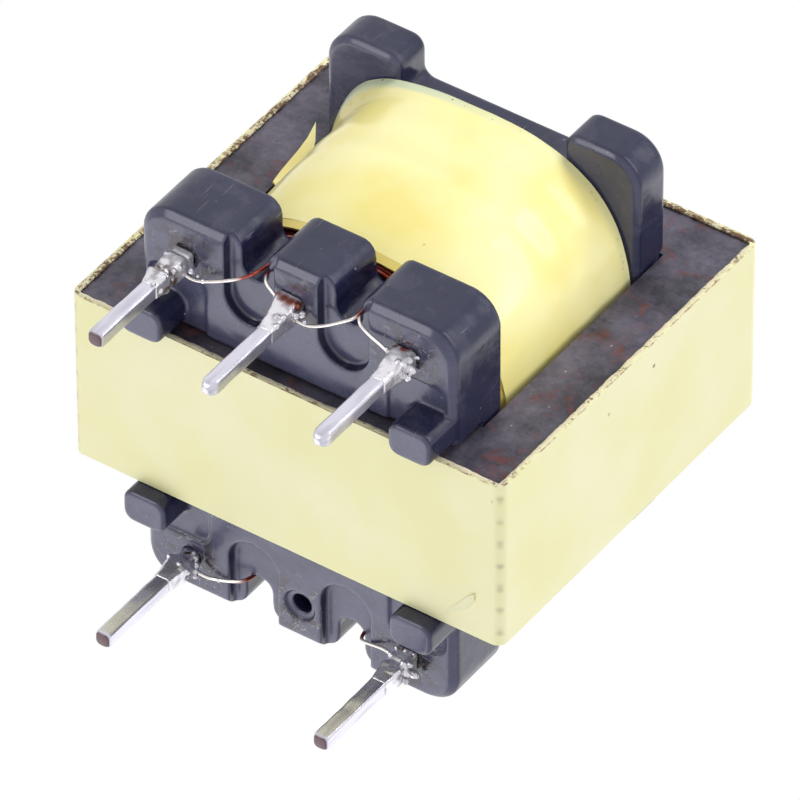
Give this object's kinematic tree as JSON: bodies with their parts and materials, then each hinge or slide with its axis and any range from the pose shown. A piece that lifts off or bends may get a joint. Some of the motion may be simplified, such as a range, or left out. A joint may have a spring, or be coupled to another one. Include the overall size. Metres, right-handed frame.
{
  "type": "pcb transformer",
  "caption": "Small upright low-frequency transformer with a laminated steel core, taped coil on a moulded bobbin and two rows of square board pins.",
  "frame": {"origin": "middle of the footprint, between the two rows of pins, on the plane of the four feet that meet the circuit board", "axes": "+Z away from the board along the coil's centre leg; +X along the rows of pins; +Y through the stack of sheets, from the row of three pins to the row of two"},
  "size_m": [0.0142, 0.0136, 0.0161],
  "materials": {
    "silicon_steel": "varnished",
    "polyester_tape": "satin film",
    "moulded_plastic": "moulded",
    "enamelled_copper": "enamelled",
    "tinned_steel": "dipped",
    "solder": "bright"
  },
  "bodies": {
    "root": {"bobbin": "moulded_plastic", "coil_tape": "polyester_tape", "core_tape": "polyester_tape", "e_lamination_01": "silicon_steel", "e_lamination_02": "silicon_steel", "e_lamination_03": "silicon_steel", "e_lamination_04": "silicon_steel", "e_lamination_05": "silicon_steel", "e_lamination_06": "silicon_steel", "e_lamination_07": "silicon_steel", "e_lamination_08": "silicon_steel", "e_lamination_09": "silicon_steel", "e_lamination_10": "silicon_steel", "e_lamination_11": "silicon_steel", "e_lamination_12": "silicon_steel", "e_lamination_13": "silicon_steel", "e_lamination_14": "silicon_steel", "i_lamination_01": "silicon_steel", "i_lamination_02": "silicon_steel", "i_lamination_03": "silicon_steel", "i_lamination_04": "silicon_steel", "i_lamination_05": "silicon_steel", "i_lamination_06": "silicon_steel", "i_lamination_07": "silicon_steel", "i_lamination_08": "silicon_steel", "i_lamination_09": "silicon_steel", "i_lamination_10": "silicon_steel", "i_lamination_11": "silicon_steel", "i_lamination_12": "silicon_steel", "i_lamination_13": "silicon_steel", "i_lamination_14": "silicon_steel", "inner_winding": "enamelled_copper", "insulation_tape": "polyester_tape", "lead_wire_1": "enamelled_copper", "lead_wire_2": "enamelled_copper", "lead_wire_3": "enamelled_copper", "lead_wire_4": "enamelled_copper", "lead_wire_5": "enamelled_copper", "lead_wire_6": "enamelled_copper", "outer_winding": "enamelled_copper", "pin_1": "tinned_steel", "pin_2": "tinned_steel", "pin_3": "tinned_steel", "pin_4": "tinned_steel", "pin_5": "tinned_steel", "solder_joint_1": "solder", "solder_joint_2": "solder", "solder_joint_3": "solder", "solder_joint_4": "solder", "solder_joint_5": "solder"}
  },
  "joints": []
}
